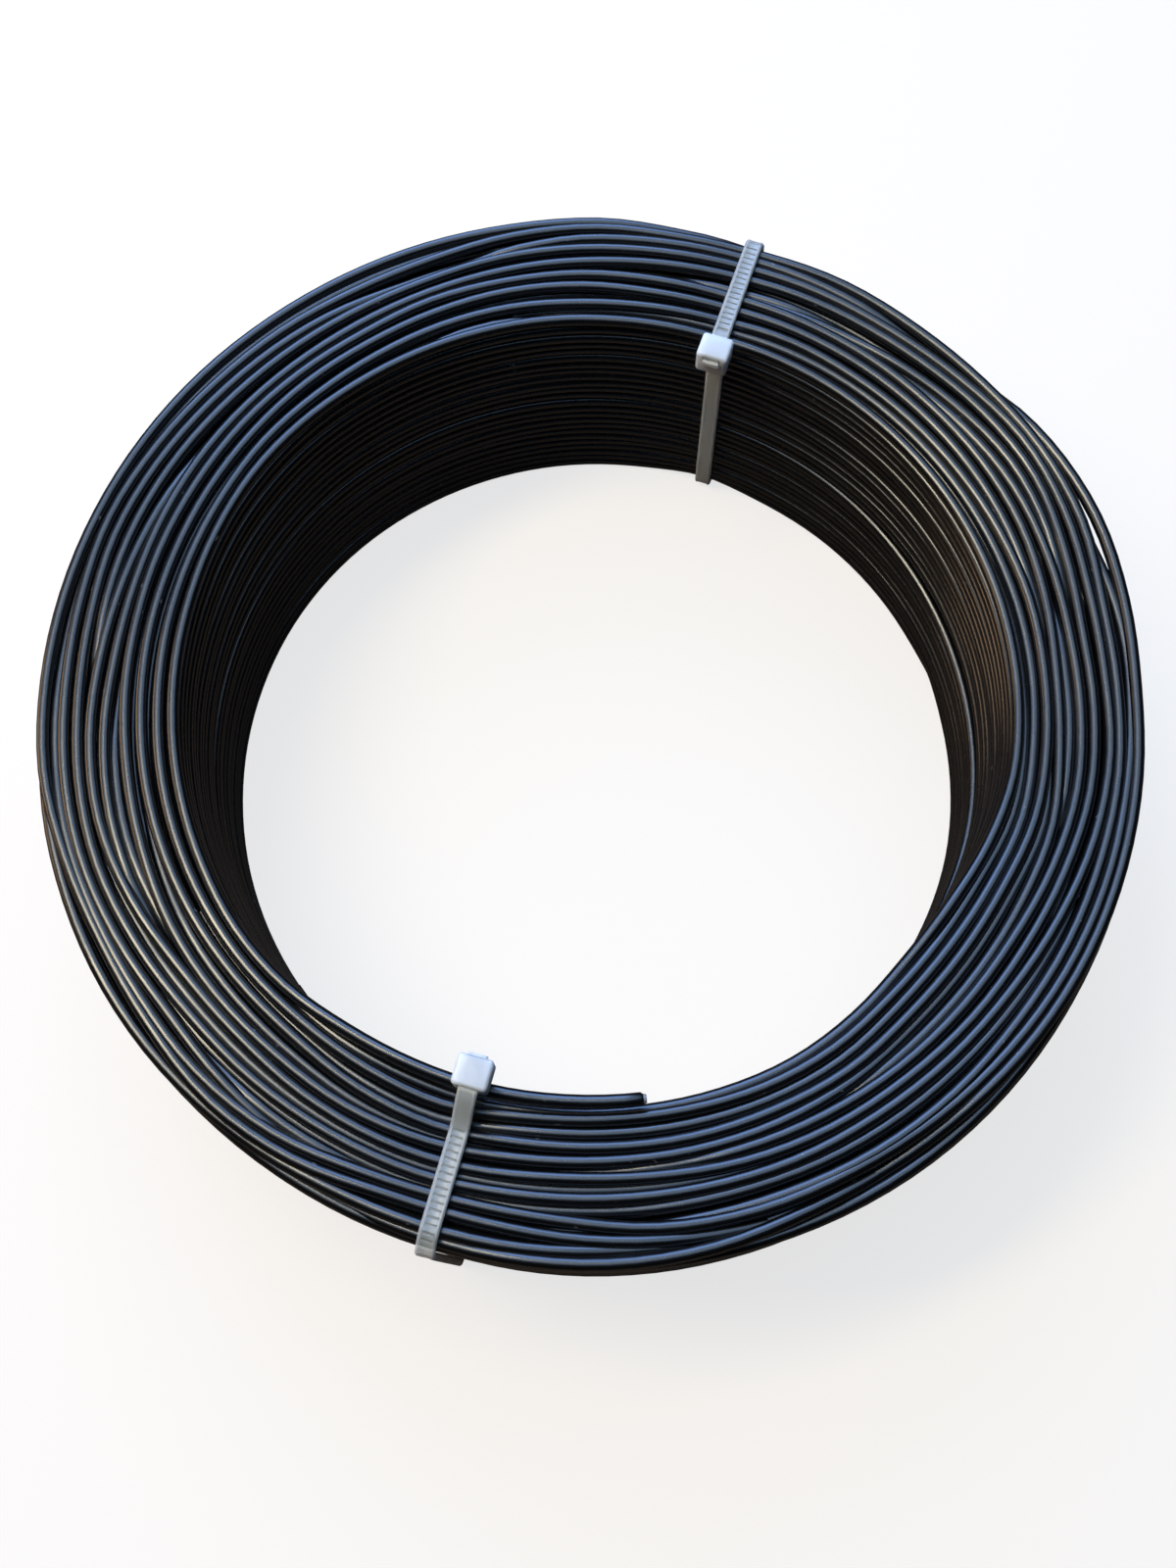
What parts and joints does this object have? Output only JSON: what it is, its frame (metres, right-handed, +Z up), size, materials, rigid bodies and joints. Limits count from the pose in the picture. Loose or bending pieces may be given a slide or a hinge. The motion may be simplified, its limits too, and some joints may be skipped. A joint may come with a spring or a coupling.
{
  "type": "coil of plastic filament",
  "caption": "Level-wound coil of round black plastic strand with an open bore, lying flat and bound by white nylon cable ties.",
  "frame": {"origin": "centre of the coil's underside, on its axis, at floor level", "axes": "+Z up along the coil's axis, +Y towards the tie at the back, +X to the right as the picture shows the coil"},
  "size_m": [0.152, 0.152, 0.0474],
  "materials": {
    "strand": "black extruded plastic, satin gloss",
    "tie": "natural nylon, milky and slightly see-through"
  },
  "bodies": {
    "root": {"coil": "strand", "tie_back": "tie", "tie_front": "tie"}
  },
  "joints": []
}
